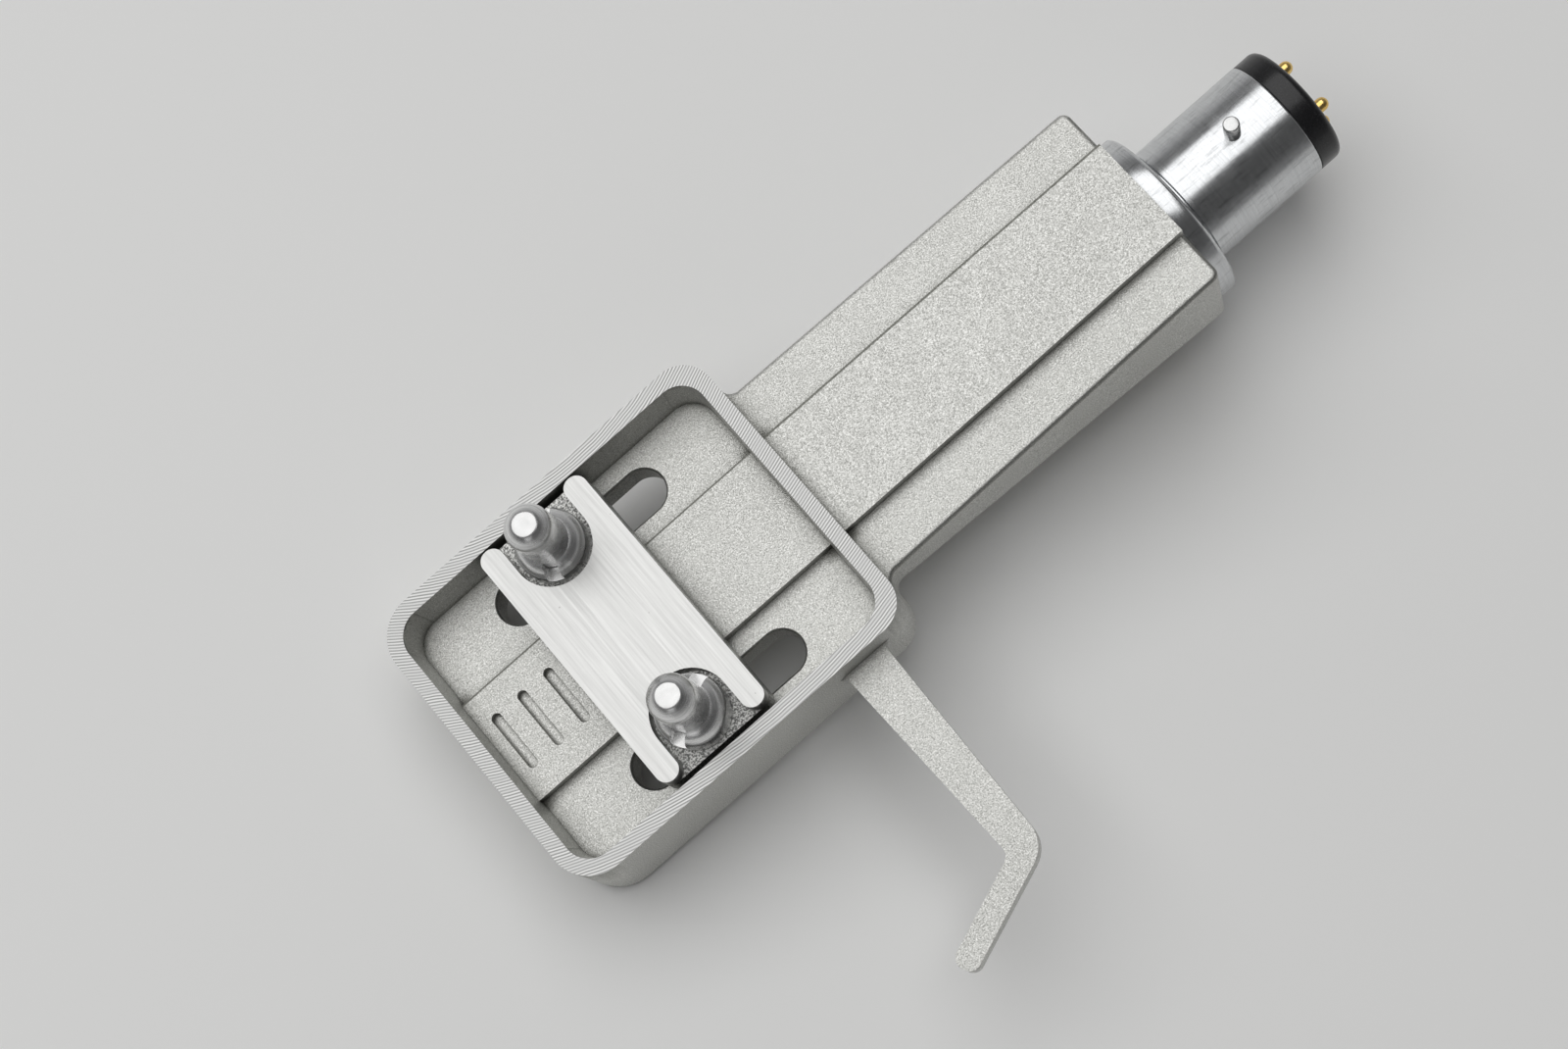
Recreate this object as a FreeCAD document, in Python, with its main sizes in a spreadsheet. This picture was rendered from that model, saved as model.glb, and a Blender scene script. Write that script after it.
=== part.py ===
import FreeCAD, Part
import math
import os
import Sketcher
from FreeCAD import Placement, Rotation, Vector

# Turntable headshell with a bayonet plug, a finger lift and a sliding clamp for the cartridge screws.
# The origin is on the plug's axis, in the plane of the flange that seats against the arm.
# +X runs forward to the front of the head, +Y to the finger lift, +Z up out of the open tray.

DIMENSIONS = {
    # Plug: a turned sleeve, its locating pin and the insulator with four contact pins
    "plug_radius": 4.0,
    "plug_length": 8.3,
    "plug_bore_radius": 3.0,
    "flange_radius": 5.75,
    "flange_thickness": 1.6,
    "flange_chamfer": 0.2,
    "spigot_radius": 3.6,
    "locating_pin_radius": 0.5,
    "locating_pin_distance": 5.05,
    "locating_pin_top": 5.65,
    "locating_pin_chamfer": 0.12,
    "insulator_cap_length": 1.6,
    "insulator_cap_bevel": 0.4,
    "insulator_front": 3.4,
    "contact_offset": 1.55,
    "contact_radius": 0.42,
    "contact_reach": 0.95,
    "contact_bevel": 0.2,
    "terminal_length": 3.0,
    # Neck: a flat-topped channel that tapers towards the plug and deepens at the rear
    "neck_top": 7.4,
    "neck_setback_rear": 3.25,
    "neck_setback_front": 2.85,
    "neck_bottom_rear": 0.3,
    "neck_bottom_front": 4.9,
    "neck_wall": 1.35,
    "neck_ceiling": 5.7,
    "neck_corner": 0.55,
    "neck_edge": 0.3,
    "neck_root": 0.75,
    "boss_length": 2.8,
    "boss_radius": 5.2,
    # Band: the raised strip along the middle of the neck and of the tray
    "band_rise": 0.8,
    "band_half_rear": 3.55,
    "band_half_front": 3.68,
    "band_half_tray": 3.65,
    # Head: an open rectangular tray with a milled rim
    "head_rear": 27.1,
    "head_front": 51.35,
    "head_bottom": 2.8,
    "head_corner_front": 2.6,
    "head_corner_rear": 2.0,
    "head_edge": 0.4,
    "rim_top": 10.1,
    "rim_wall": 0.95,
    "tray_side_gap": 0.4,
    "tray_draft": 4.0,
    "tray_corner": 1.7,
    "floor_top": 7.1,
    "floor_underside": 5.0,
    "seat_wall": 1.35,
    "seat_gap": 0.3,
    "wire_notch_half": 2.5,
    # Slots for the screws and the three grooves across the band
    "slot_spacing": 12.7,
    "slot_rear": 33.0,
    "slot_front": 45.3,
    "slot_half": 1.35,
    "slot_chamfer": 0.12,
    "groove_first": 45.2,
    "groove_pitch": 1.97,
    "groove_half_length": 2.0,
    "groove_radius": 0.33,
    "groove_depth": 0.5,
    # Finger lift: one arm out of the side of the head, bent forward at the elbow
    "lift_top": 7.9,
    "lift_thickness": 1.5,
    "lift_root_rear": 29.65,
    "lift_root_width": 2.85,
    "lift_elbow_width": 1.95,
    "lift_lean": 0.5,
    "lift_length": 14.4,
    "lift_elbow_depth": 0.85,
    "lift_forward": 7.65,
    "lift_spread": 2.9,
    "lift_tip_forward": 0.55,
    "lift_tip_depth": 1.35,
    "lift_outer_bend": 1.9,
    "lift_inner_bend": 0.7,
    "lift_tip_rounding": 0.65,
    "lift_root_rounding": 0.5,
    # Clamp: the plate across the tray, with a nut on top and a screw below at each slot
    "clamp_position": 40.1,
    "plate_half_width": 3.87,
    "plate_overhang": 2.3,
    "plate_thickness": 3.0,
    "plate_corner": 0.7,
    "recess_half": 2.42,
    "recess_depth": 1.2,
    "plate_hole_radius": 1.4,
    "screw_radius": 1.3,
    "screw_head_radius": 2.0,
    "screw_head_height": 1.3,
    "screw_slot_width": 0.7,
    "screw_slot_depth": 0.6,
    "screw_tip": 16.6,
    "screw_point_radial": 0.65,
    "screw_point_axial": 0.8,
    "nut_radius": 2.1,
    "nut_height": 2.6,
    "nut_shoulder": 1.25,
    "nut_slot_width": 0.9,
    "nut_slot_depth": 1.5,
    "nut_bore_clearance": 0.03,
    "nut_turn_first": 60.0,
    "nut_turn_second": 32.0,
    # How far a sketch runs into neighbouring material so that the pieces join
    "overlap": 0.5,
}


class Size:
    """A driving dimension or a sum of them: its value now, and its text for the document's expressions."""

    def __init__(self, value, text):
        self.value = value
        self.text = text

    def combine(self, other, sign, value):
        other_text = other.text if isinstance(other, Size) else repr(float(other))
        return Size(value, f"({self.text} {sign} {other_text})")

    def __add__(self, other):
        return self.combine(other, "+", self.value + number(other))

    def __sub__(self, other):
        return self.combine(other, "-", self.value - number(other))

    def __mul__(self, other):
        return self.combine(other, "*", self.value * number(other))

    def __truediv__(self, other):
        return self.combine(other, "/", self.value / number(other))

    def __neg__(self):
        return Size(-self.value, f"(-{self.text})")


def number(item):
    return item.value if isinstance(item, Size) else float(item)


doc = FreeCAD.newDocument("Headshell")
sheet = doc.addObject("Spreadsheet::Sheet", "dimensions")
for row, (name, amount) in enumerate(DIMENSIONS.items(), start=1):
    sheet.set(f"A{row}", name)
    sheet.set(f"B{row}", str(amount))
    sheet.setAlias(f"B{row}", name)
doc.recompute()

size = {name: Size(amount, f"dimensions.{name}") for name, amount in DIMENSIONS.items()}
ZERO = Size(0.0, "0")

# Widths follow from the slot spacing: the plate spans both slots, the tray clears the plate
slot_offset = size["slot_spacing"] / 2
plate_half_length = slot_offset + size["plate_overhang"]
tray_half = plate_half_length + size["tray_side_gap"]
head_half = tray_half + size["rim_wall"]
seat_half = slot_offset + size["screw_head_radius"] + size["seat_gap"]
neck_half_rear = head_half - size["neck_setback_rear"]
neck_half_front = head_half - size["neck_setback_front"]

# Heights follow from the tray's floor: band, plate, and the seat of the nuts in the plate's recesses
band_top = size["floor_top"] + size["band_rise"]
plate_top = band_top + size["plate_thickness"]
nut_seat = plate_top - size["recess_depth"]

# The finger lift's outline starts at its root and goes round the elbow to the tip
lift_root_front = size["lift_root_rear"] + size["lift_root_width"]
lift_elbow_rear = size["lift_root_rear"] + size["lift_lean"]
lift_elbow_front = lift_elbow_rear + size["lift_elbow_width"]
lift_elbow_outer = head_half + size["lift_length"]
lift_elbow_inner = lift_elbow_outer - size["lift_elbow_depth"]
lift_tip_outer = (lift_elbow_rear + size["lift_forward"], lift_elbow_outer + size["lift_spread"])
lift_tip_inner = (lift_tip_outer[0] + size["lift_tip_forward"], lift_tip_outer[1] - size["lift_tip_depth"])


# Sketch tools

def new_body(label):
    body = doc.addObject("PartDesign::Body", label)
    body.Label = label
    return body


def sketch_on(body, role, name, height=ZERO):
    """A sketch on one of the body's own origin planes, moved along the plane's normal."""
    sketch = body.newObject("Sketcher::SketchObject", name)
    plane = next(feature for feature in body.Origin.OriginFeatures if feature.Role == role)
    sketch.AttachmentSupport = [(plane, "")]
    sketch.MapMode = "FlatFace"
    if height is not ZERO:
        sketch.AttachmentOffset = Placement(Vector(0, 0, height.value), Rotation())
        sketch.setExpression("AttachmentOffset.Base.z", height.text)
    return sketch


def pin_point(sketch, geometry, position, x, y):
    """Holds one point of the sketch at the coordinates x and y."""
    for kind, axis, coordinate in (("DistanceX", -2, x), ("DistanceY", -1, y)):
        if coordinate is ZERO:
            sketch.addConstraint(Sketcher.Constraint("PointOnObject", geometry, position, axis))
        else:
            held = Sketcher.Constraint(kind, -1, 1, geometry, position, coordinate.value)
            index = sketch.addConstraint(held)
            sketch.setExpression(f"Constraints[{index}]", coordinate.text)


def polygon(sketch, corners):
    """A closed outline of straight lines through the given corners."""
    points = [Vector(x.value, y.value, 0) for x, y in corners]
    first = sketch.GeometryCount
    count = len(points)
    for k in range(count):
        sketch.addGeometry(Part.LineSegment(points[k], points[(k + 1) % count]))
    for k in range(count):
        following = first + (k + 1) % count
        sketch.addConstraint(Sketcher.Constraint("Coincident", first + k, 2, following, 1))
    for k, (x, y) in enumerate(corners):
        pin_point(sketch, first + k, 1, x, y)


def rectangle(sketch, x_low, x_high, y_low, y_high):
    polygon(sketch, [(x_low, y_low), (x_high, y_low), (x_high, y_high), (x_low, y_high)])


def circle(sketch, x, y, radius):
    centre = Vector(x.value, y.value, 0)
    index = sketch.addGeometry(Part.Circle(centre, Vector(0, 0, 1), radius.value))
    pin_point(sketch, index, 3, x, y)
    held = sketch.addConstraint(Sketcher.Constraint("Radius", index, radius.value))
    sketch.setExpression(f"Constraints[{held}]", radius.text)


def stadium(sketch, start, end, radius):
    """A slot outline: two half circles about start and end, joined by two tangent lines."""
    first = sketch.GeometryCount
    a = Vector(start[0].value, start[1].value, 0)
    b = Vector(end[0].value, end[1].value, 0)
    heading = math.atan2(b.y - a.y, b.x - a.x)
    quarter = math.pi / 2
    side = Vector(-math.sin(heading), math.cos(heading), 0) * radius.value
    up = Vector(0, 0, 1)
    near = Part.Circle(a, up, radius.value)
    far = Part.Circle(b, up, radius.value)
    sketch.addGeometry(Part.ArcOfCircle(near, heading + quarter, heading + 3 * quarter))
    sketch.addGeometry(Part.ArcOfCircle(far, heading - quarter, heading + quarter))
    sketch.addGeometry(Part.LineSegment(b + side, a + side))
    sketch.addGeometry(Part.LineSegment(a - side, b - side))
    arc_near, arc_far, line_left, line_right = range(first, first + 4)
    for one, one_end, other, other_end in (
        (arc_far, 2, line_left, 1),
        (line_left, 2, arc_near, 1),
        (arc_near, 2, line_right, 1),
        (line_right, 2, arc_far, 1),
    ):
        sketch.addConstraint(Sketcher.Constraint("Tangent", one, one_end, other, other_end))
    pin_point(sketch, arc_near, 3, *start)
    pin_point(sketch, arc_far, 3, *end)
    sketch.addConstraint(Sketcher.Constraint("Equal", arc_near, arc_far))
    held = sketch.addConstraint(Sketcher.Constraint("Radius", arc_near, radius.value))
    sketch.setExpression(f"Constraints[{held}]", radius.text)


# Feature tools

def settle(feature):
    """Recomputes the document and stops at a feature that failed."""
    doc.recompute()
    if "Invalid" in feature.State or "Error" in feature.State or not feature.Shape.isValid():
        raise RuntimeError(f"{feature.Label} failed: {feature.State}")
    return feature


def extrude(body, kind, sketch, length, name, backwards=False):
    """A Pad or a Pocket of the sketch, which has to change the body's volume."""
    before = body.Shape.Volume if body.Shape.Solids else 0.0
    feature = body.newObject(f"PartDesign::{kind}", name)
    feature.Profile = sketch
    feature.Reversed = backwards
    feature.Length = length.value
    feature.setExpression("Length", length.text)
    settle(feature)
    if math.isclose(before, body.Shape.Volume, rel_tol=1e-9):
        raise RuntimeError(f"{name} changes nothing")
    return feature


def pad(body, sketch, length, name, backwards=False):
    return extrude(body, "Pad", sketch, length, name, backwards)


def pocket(body, sketch, length, name, backwards=False):
    return extrude(body, "Pocket", sketch, length, name, backwards)


def pocket_through(body, sketch, name):
    """A pocket through everything on both sides of the sketch."""
    before = body.Shape.Volume
    feature = body.newObject("PartDesign::Pocket", name)
    feature.Profile = sketch
    feature.Type = "ThroughAll"
    feature.Midplane = True
    settle(feature)
    if math.isclose(before, body.Shape.Volume, rel_tol=1e-9):
        raise RuntimeError(f"{name} changes nothing")
    return feature


def revolve(body, sketch, axis_role, name):
    """A full turn of the profile about one of the body's own axes."""
    axis = next(feature for feature in body.Origin.OriginFeatures if feature.Role == axis_role)
    feature = body.newObject("PartDesign::Revolution", name)
    feature.Profile = sketch
    feature.ReferenceAxis = (axis, [""])
    feature.Angle = 360.0
    return settle(feature)


def edges_where(shape, test):
    """The names of the edges whose middle point and direction pass the test."""
    names = []
    for index, edge in enumerate(shape.Edges, start=1):
        middle = edge.valueAt((edge.FirstParameter + edge.LastParameter) / 2)
        start = edge.valueAt(edge.FirstParameter)
        end = edge.valueAt(edge.LastParameter)
        if test(middle, start, end):
            names.append(f"Edge{index}")
    return names


def dress(body, kind, test, amount, name):
    """A Fillet or a Chamfer on every edge of the body that passes the test."""
    base = body.Tip
    edges = edges_where(base.Shape, test)
    if not edges:
        raise RuntimeError(f"{name} finds no edge")
    feature = body.newObject(f"PartDesign::{kind}", name)
    feature.Base = (base, edges)
    prop = "Radius" if kind == "Fillet" else "Size"
    setattr(feature, prop, amount.value)
    feature.setExpression(prop, amount.text)
    return settle(feature)


def fillet(body, test, radius, name):
    return dress(body, "Fillet", test, radius, name)


def chamfer(body, test, amount, name):
    return dress(body, "Chamfer", test, amount, name)


def near(value, target, tolerance=0.02):
    return abs(value - number(target)) < tolerance


def upright(start, end):
    """True for an edge that runs from one height to another with nearly no sideways travel."""
    return abs(start.z - end.z) > 0.2 and math.hypot(start.x - end.x, start.y - end.y) < 0.35


# Shell: head, neck and finger lift in one casting

def make_shell():
    body = new_body("shell")
    make_neck(body)
    make_head(body)
    make_bands(body)
    cut_slots(body)
    cut_grooves(body)
    make_finger_lift(body)
    return body


def make_neck(body):
    neck_end = size["head_rear"] + size["overlap"]
    rear = size["flange_thickness"]
    plan = sketch_on(body, "XY_Plane", "NeckPlan", size["neck_top"])
    polygon(plan, [
        (rear, -neck_half_rear),
        (neck_end, -neck_half_front),
        (neck_end, neck_half_front),
        (rear, neck_half_rear),
    ])
    pad(body, plan, size["neck_top"] - size["neck_bottom_rear"], "NeckBlock", backwards=True)

    corner = lambda middle, start, end: upright(start, end) and near(middle.x, rear)
    fillet(body, corner, size["neck_corner"], "NeckRearCorners")

    # The bottom edge climbs from the plug to the head
    slope = sketch_on(body, "XZ_Plane", "NeckSlope")
    below = size["neck_bottom_rear"] - size["overlap"]
    beyond = neck_end + size["overlap"]
    polygon(slope, [
        (rear, size["neck_bottom_rear"]),
        (rear, below),
        (beyond, below),
        (beyond, size["neck_bottom_front"]),
        (size["head_rear"], size["neck_bottom_front"]),
    ])
    pocket_through(body, slope, "NeckUnderside")

    # The channel for the wires, open below, between the boss and the head
    channel_rear = rear + size["boss_length"]
    inner_rear = neck_half_rear - size["neck_wall"]
    inner_front = neck_half_front - size["neck_wall"]
    channel = sketch_on(body, "XY_Plane", "NeckChannelPlan", size["neck_ceiling"])
    polygon(channel, [
        (channel_rear, -inner_rear),
        (size["head_rear"], -inner_front),
        (size["head_rear"], inner_front),
        (channel_rear, inner_rear),
    ])
    pocket(body, channel, size["neck_ceiling"] + size["overlap"], "NeckChannel")

    boss = sketch_on(body, "YZ_Plane", "BossOutline", rear)
    circle(boss, ZERO, ZERO, size["boss_radius"])
    pad(body, boss, size["boss_length"], "Boss")
    bore = sketch_on(body, "YZ_Plane", "BossBore", rear)
    circle(bore, ZERO, ZERO, size["spigot_radius"])
    pocket(body, bore, size["boss_length"] + size["overlap"], "SpigotBore", backwards=True)


def make_head(body):
    plan = sketch_on(body, "XY_Plane", "HeadPlan", size["head_bottom"])
    rectangle(plan, size["head_rear"], size["head_front"], -head_half, head_half)
    pad(body, plan, size["rim_top"] - size["head_bottom"], "HeadBlock")

    corner_at = lambda x: lambda middle, start, end: (
        upright(start, end) and near(abs(middle.y), head_half) and near(middle.x, size[x])
    )
    fillet(body, corner_at("head_front"), size["head_corner_front"], "FrontCorners")
    fillet(body, corner_at("head_rear"), size["head_corner_rear"], "RearCorners")
    root = lambda middle, start, end: (
        upright(start, end) and near(middle.x, size["head_rear"]) and near(abs(middle.y), neck_half_front, 0.1)
    )
    fillet(body, root, size["neck_root"], "NeckRoots")
    top_edge = lambda middle, start, end: near(middle.z, size["neck_top"]) and middle.x < size["head_rear"].value
    fillet(body, top_edge, size["neck_edge"], "NeckTopEdges")
    foot = lambda middle, start, end: near(start.z, size["head_bottom"]) and near(end.z, size["head_bottom"])
    fillet(body, foot, size["head_edge"], "HeadFoot")

    # The tray is cut from the rim down, its walls leaning in with the draft of the casting
    wall = size["rim_wall"]
    tray = sketch_on(body, "XY_Plane", "TrayPlan", size["rim_top"])
    rectangle(tray, size["head_rear"] + wall, size["head_front"] - wall, -tray_half, tray_half)
    tray_cut = pocket(body, tray, size["rim_top"] - size["floor_top"], "Tray")
    tray_cut.TaperAngle = -number(size["tray_draft"])
    tray_cut.setExpression("TaperAngle", f"-{size['tray_draft'].text}")
    settle(tray_cut)
    inside = lambda middle: near(abs(middle.y), tray_half, 0.3) and middle.z > size["floor_top"].value + 0.5
    tray_corner = lambda middle, start, end: (
        abs(start.z - end.z) > 2.0 and inside(middle) and abs(start.x - end.x) < 0.5
        and near(min(abs(middle.x - (size["head_rear"] + wall).value),
                     abs(middle.x - (size["head_front"] - wall).value)), 0.1, 0.15)
    )
    fillet(body, tray_corner, size["tray_corner"], "TrayCorners")

    # The shallow seat for the cartridge below the floor, and the notch that lets the wires through
    seat_rear = size["head_rear"] + size["seat_wall"]
    depth = size["floor_underside"] - size["head_bottom"]
    seat = sketch_on(body, "XY_Plane", "SeatPlan", size["head_bottom"])
    rectangle(seat, seat_rear, size["head_front"] - size["seat_wall"], -seat_half, seat_half)
    pocket(body, seat, depth, "CartridgeSeat", backwards=True)
    notch = sketch_on(body, "XY_Plane", "WireNotchPlan", size["head_bottom"])
    notch_half = size["wire_notch_half"]
    rectangle(notch, size["head_rear"] - 0.2, seat_rear + 0.2, -notch_half, notch_half)
    pocket(body, notch, depth, "WireNotch", backwards=True)


def make_bands(body):
    start = size["head_rear"] + size["overlap"]
    half = size["band_half_tray"]
    tray = sketch_on(body, "XY_Plane", "TrayBandPlan", size["floor_top"] - 0.1)
    rectangle(tray, start, size["head_front"] - size["overlap"], -half, half)
    pad(body, tray, size["band_rise"] + 0.1, "TrayBand")
    neck = sketch_on(body, "XY_Plane", "NeckBandPlan", size["neck_top"] - 0.1)
    rear = size["flange_thickness"]
    polygon(neck, [
        (rear, -size["band_half_rear"]),
        (start, -size["band_half_front"]),
        (start, size["band_half_front"]),
        (rear, size["band_half_rear"]),
    ])
    pad(body, neck, size["band_rise"] + 0.1, "NeckBand")


def cut_slots(body):
    half = size["slot_half"]
    plan = sketch_on(body, "XY_Plane", "SlotPlan", size["floor_top"])
    for centre in (-slot_offset, slot_offset):
        stadium(plan, (size["slot_rear"] + half, centre), (size["slot_front"] - half, centre), half)
    pocket(body, plan, size["floor_top"] - size["floor_underside"] + size["overlap"], "Slots")
    mouth = lambda middle, start, end: (
        near(start.z, size["floor_top"]) and near(end.z, size["floor_top"])
        and abs(abs(middle.y) - slot_offset.value) < half.value + 0.02
        and size["slot_rear"].value - 0.02 < middle.x < size["slot_front"].value + 0.02
    )
    chamfer(body, mouth, size["slot_chamfer"], "SlotMouths")


def cut_grooves(body):
    reach = size["groove_half_length"] - size["groove_radius"]
    plan = sketch_on(body, "XY_Plane", "GroovePlan", band_top)
    for step in range(3):
        x = size["groove_first"] + size["groove_pitch"] * step
        stadium(plan, (x, -reach), (x, reach), size["groove_radius"])
    pocket(body, plan, size["groove_depth"], "Grooves")


def make_finger_lift(body):
    inside = head_half - size["overlap"]
    plan = sketch_on(body, "XY_Plane", "LiftPlan", size["lift_top"])
    polygon(plan, [
        (size["lift_root_rear"], inside),
        (lift_root_front, inside),
        (lift_elbow_front, lift_elbow_inner),
        lift_tip_inner,
        lift_tip_outer,
        (lift_elbow_rear, lift_elbow_outer),
    ])
    pad(body, plan, size["lift_thickness"], "FingerLift", backwards=True)

    at = lambda middle, x, y: near(middle.x, x, 0.05) and near(middle.y, y, 0.05)
    outer = lambda middle, start, end: upright(start, end) and at(middle, lift_elbow_rear, lift_elbow_outer)
    fillet(body, outer, size["lift_outer_bend"], "LiftOuterBend")
    inner = lambda middle, start, end: upright(start, end) and at(middle, lift_elbow_front, lift_elbow_inner)
    fillet(body, inner, size["lift_inner_bend"], "LiftInnerBend")
    tip = lambda middle, start, end: (
        upright(start, end) and (at(middle, *lift_tip_inner) or at(middle, *lift_tip_outer))
    )
    fillet(body, tip, size["lift_tip_rounding"], "LiftTip")
    root = lambda middle, start, end: (
        upright(start, end) and near(middle.y, head_half)
        and size["lift_root_rear"].value - 0.1 < middle.x < lift_root_front.value + 0.1
    )
    fillet(body, root, size["lift_root_rounding"], "LiftRoots")


# Plug: sleeve, locating pin, insulator and contact pins

def make_sleeve():
    body = new_body("bayonet_sleeve")
    profile = sketch_on(body, "XZ_Plane", "SleeveProfile")
    spigot_end = size["flange_thickness"] + size["boss_length"]
    polygon(profile, [
        (-size["plug_length"], size["plug_bore_radius"]),
        (spigot_end, size["plug_bore_radius"]),
        (spigot_end, size["spigot_radius"]),
        (size["flange_thickness"], size["spigot_radius"]),
        (size["flange_thickness"], size["flange_radius"]),
        (ZERO, size["flange_radius"]),
        (ZERO, size["plug_radius"]),
        (-size["plug_length"], size["plug_radius"]),
    ])
    revolve(body, profile, "X_Axis", "TurnedSleeve")
    rim = lambda middle, start, end: near(math.hypot(middle.y, middle.z), size["flange_radius"])
    ring = lambda middle, start, end: rim(middle, start, end) and (start - end).Length < 0.001
    chamfer(body, ring, size["flange_chamfer"], "FlangeEdges")
    seat = sketch_on(body, "XY_Plane", "PinSeat", size["plug_bore_radius"] - 1.0)
    circle(seat, -size["locating_pin_distance"], ZERO, size["locating_pin_radius"])
    pocket(body, seat, size["plug_radius"], "PinSeatHole", backwards=True)
    return body


def make_locating_pin():
    body = new_body("locating_pin")
    foot = size["plug_bore_radius"] + 0.05
    plan = sketch_on(body, "XY_Plane", "PinPlan", foot)
    circle(plan, -size["locating_pin_distance"], ZERO, size["locating_pin_radius"])
    pad(body, plan, size["locating_pin_top"] - foot, "Pin")
    top = lambda middle, start, end: near(middle.z, size["locating_pin_top"])
    chamfer(body, top, size["locating_pin_chamfer"], "PinChamfer")
    return body


CONTACT_CORNERS = ((1, 1), (-1, 1), (-1, -1), (1, -1))


def make_insulator():
    body = new_body("insulator")
    profile = sketch_on(body, "XZ_Plane", "InsulatorProfile")
    rear = -(size["plug_length"] + size["insulator_cap_length"])
    polygon(profile, [
        (rear, ZERO),
        (size["insulator_front"], ZERO),
        (size["insulator_front"], size["plug_bore_radius"]),
        (-size["plug_length"], size["plug_bore_radius"]),
        (-size["plug_length"], size["plug_radius"]),
        (rear, size["plug_radius"]),
    ])
    revolve(body, profile, "X_Axis", "MouldedPlug")
    cap_rim = lambda middle, start, end: (
        near(middle.x, rear) and near(math.hypot(middle.y, middle.z), size["plug_radius"])
    )
    chamfer(body, cap_rim, size["insulator_cap_bevel"], "CapBevel")
    holes = sketch_on(body, "YZ_Plane", "ContactHoles", size["insulator_front"])
    offset = size["contact_offset"]
    for side, level in CONTACT_CORNERS:
        circle(holes, offset * side, offset * level, size["contact_radius"])
    pocket_through(body, holes, "ContactBores")
    return body


def make_contact_pin(order, side, level):
    """A turned contact that runs through the insulator: a bevelled end behind, a solder post in front."""
    body = new_body(f"contact_pin_{order}")
    radius = size["contact_radius"]
    rear = -(size["plug_length"] + size["insulator_cap_length"] + size["contact_reach"])
    front = size["insulator_front"] + size["terminal_length"]
    profile = sketch_on(body, "XY_Plane", "PinProfile")
    bevel = size["contact_bevel"]
    polygon(profile, [
        (rear, ZERO),
        (front, ZERO),
        (front, radius),
        (rear + bevel, radius),
        (rear, radius - bevel),
    ])
    revolve(body, profile, "X_Axis", "TurnedPin")
    offset = size["contact_offset"]
    place(body, ZERO, offset * side, offset * level, ZERO)
    return body


# Clamp: plate, nuts and screws, which slide together along the slots

def make_clamp_plate():
    body = new_body("clamp_plate")
    centre = size["clamp_position"]
    half_width = size["plate_half_width"]
    plan = sketch_on(body, "XY_Plane", "PlatePlan", band_top)
    rectangle(plan, centre - half_width, centre + half_width, -plate_half_length, plate_half_length)
    pad(body, plan, size["plate_thickness"], "PlateBlock")

    # A recess, open at the end of the plate, leaves two prongs around each nut
    beyond = plate_half_length + size["recess_half"] + size["overlap"]
    recess = sketch_on(body, "XY_Plane", "RecessPlan", plate_top)
    for side in (-1, 1):
        stadium(recess, (centre, slot_offset * side), (centre, beyond * side), size["recess_half"])
    pocket(body, recess, size["recess_depth"], "Recesses")
    holes = sketch_on(body, "XY_Plane", "PlateHolePlan", plate_top)
    for side in (-1, 1):
        circle(holes, centre, slot_offset * side, size["plate_hole_radius"])
    pocket_through(body, holes, "PlateHoles")
    at_end = lambda middle, start, end: upright(start, end) and near(abs(middle.y), plate_half_length)
    fillet(body, at_end, size["plate_corner"], "ProngTips")
    return body


def make_nut(order, side, turn):
    """A round nut with a domed shoulder and a driver slot across its top."""
    body = new_body(f"clamp_nut_{order}")
    collar = sketch_on(body, "XY_Plane", "CollarOutline")
    circle(collar, ZERO, ZERO, size["nut_radius"])
    pad(body, collar, size["nut_height"], "Collar")
    shoulder = lambda middle, start, end: near(middle.z, size["nut_height"])
    fillet(body, shoulder, size["nut_shoulder"], "Shoulder")
    slot = sketch_on(body, "XY_Plane", "SlotOutline", size["nut_height"])
    half_slot = size["nut_slot_width"] / 2
    reach = size["nut_radius"] + size["overlap"]
    rectangle(slot, -reach, reach, -half_slot, half_slot)
    pocket(body, slot, size["nut_slot_depth"], "DriverSlot")
    bore = sketch_on(body, "XY_Plane", "NutBore")
    circle(bore, ZERO, ZERO, size["screw_radius"] + size["nut_bore_clearance"])
    pocket_through(body, bore, "Bore")
    place(body, size["clamp_position"], slot_offset * side, nut_seat, turn)
    return body


def make_screw(order, side):
    """The screw that comes up through slot, plate and nut; its head is below the floor of the tray."""
    body = new_body(f"clamp_screw_{order}")
    head_radius = size["screw_head_radius"]
    shank_radius = size["screw_radius"]
    tip = size["screw_tip"] - size["floor_underside"]
    profile = sketch_on(body, "XZ_Plane", "ScrewProfile")
    polygon(profile, [
        (ZERO, -size["screw_head_height"]),
        (head_radius, -size["screw_head_height"]),
        (head_radius, ZERO),
        (shank_radius, ZERO),
        (shank_radius, tip - size["screw_point_axial"]),
        (shank_radius - size["screw_point_radial"], tip),
        (ZERO, tip),
    ])
    revolve(body, profile, "Z_Axis", "TurnedScrew")
    slot = sketch_on(body, "XY_Plane", "SlotOutline", -size["screw_head_height"])
    reach = head_radius + size["overlap"]
    half_slot = size["screw_slot_width"] / 2
    rectangle(slot, -reach, reach, -half_slot, half_slot)
    pocket(body, slot, size["screw_slot_depth"], "DriverSlot", backwards=True)
    place(body, size["clamp_position"], slot_offset * side, size["floor_underside"], ZERO)
    return body


def place(body, x, y, z, turn):
    """Moves the finished body to its place, turned about its own upright axis."""
    body.Placement = Placement(Vector(x.value, y.value, z.value), Rotation(Vector(0, 0, 1), turn.value))
    body.setExpression("Placement.Base.x", x.text)
    body.setExpression("Placement.Base.y", y.text)
    body.setExpression("Placement.Base.z", z.text)
    if turn is not ZERO:
        body.setExpression("Placement.Rotation.Angle", turn.text)


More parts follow.
